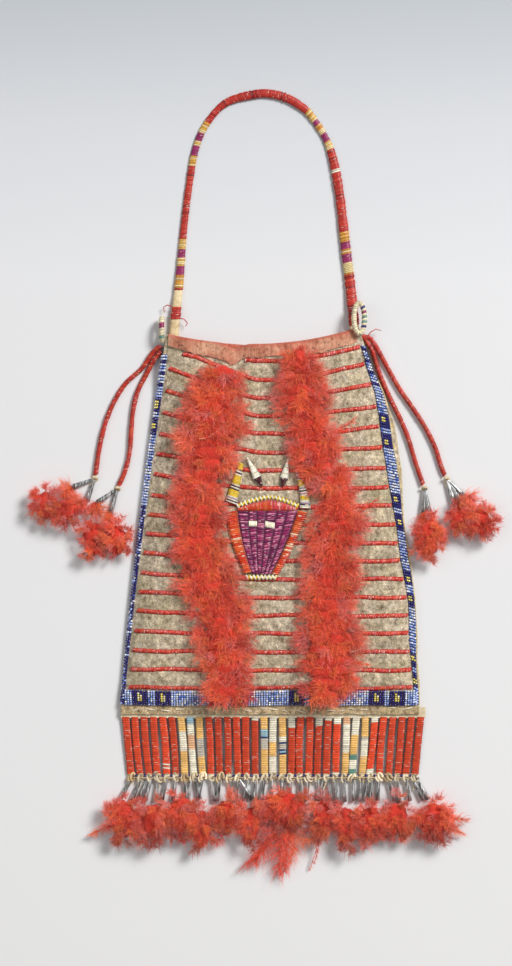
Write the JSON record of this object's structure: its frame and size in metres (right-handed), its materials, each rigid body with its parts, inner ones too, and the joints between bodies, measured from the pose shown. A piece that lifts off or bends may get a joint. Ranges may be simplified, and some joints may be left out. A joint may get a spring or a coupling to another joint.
{
  "type": "beaded bag",
  "caption": "Flat-lying hide bag with an arched strap handle, quilled front with a horned head, beaded edges, a wrapped slat fringe with tin cones, and down tufts.",
  "frame": {"origin": "on the back panel's flat outer face, at the middle of the bag", "axes": "+Y from the fringe to the handle, +Z out of the quilled front, +X to the viewer's right"},
  "size_m": [0.3554, 0.5962, 0.0268],
  "materials": {
    "smoked_hide": "dull brain-tanned hide, greyed with smoke and handling",
    "rawhide": "pale unsmoked hide",
    "binding_cloth": "faded woven tape",
    "red_quill": "flattened dyed quills, satin sheen",
    "purple_quill": "flattened dyed quills, satin sheen",
    "yellow_quill": "flattened dyed quills, satin sheen",
    "blue_beads": "opaque glass seed beads",
    "white_beads": "opaque glass seed beads and undyed quills",
    "tin": "rolled tinned iron, tarnished",
    "red_down": "dyed down feathers"
  },
  "bodies": {
    "root": {"back_panel": "smoked_hide", "front_panel": "smoked_hide", "mouth_binding_front": "binding_cloth", "mouth_binding_back": "binding_cloth", "beaded_band": "blue_beads", "beaded_edge_left": "blue_beads", "beaded_edge_right": "blue_beads", "corner_loop_left": "white_beads", "corner_loop_right": "white_beads", "handle_strap": "rawhide", "handle_quill_collar": "red_quill", "handle_quill_wrap": "red_quill", "slat_fringe": "red_quill", "fringe_tie": "tin", "head_face": "purple_quill", "head_brow": "red_quill", "head_brow_trim": "yellow_quill", "head_chin_trim": "yellow_quill", "head_cheek_left": "red_quill", "head_cheek_right": "red_quill", "head_horn_left": "yellow_quill", "head_horn_right": "yellow_quill", "head_ear_left": "white_beads", "head_ear_right": "white_beads", "down_column_left": "red_down", "down_column_right": "red_down", "fringe_down": "red_down", "quill_line_01": "red_quill", "quill_line_02": "red_quill", "quill_line_03": "red_quill", "quill_line_04": "red_quill", "quill_line_05": "red_quill", "quill_line_06": "red_quill", "quill_line_07": "red_quill", "quill_line_08": "red_quill", "quill_line_09": "red_quill", "quill_line_10": "red_quill", "quill_line_11": "red_quill", "quill_line_12": "red_quill", "quill_line_13": "red_quill", "quill_line_14": "red_quill", "quill_line_15": "red_quill", "quill_line_16": "red_quill", "quill_line_17": "red_quill", "quill_line_18": "red_quill", "quill_line_19": "red_quill", "tassel_thong_left_outer": "red_quill", "tassel_thong_left_inner": "red_quill", "tassel_thong_right_inner": "red_quill", "tassel_thong_right_outer": "red_quill", "tassel_cones_left_outer": "tin", "tassel_cones_left_inner": "tin", "tassel_cones_right_inner": "tin", "tassel_cones_right_outer": "tin", "tassel_down_left_outer": "red_down", "tassel_down_left_inner": "red_down", "tassel_down_right_inner": "red_down", "tassel_down_right_outer": "red_down"}
  },
  "joints": []
}
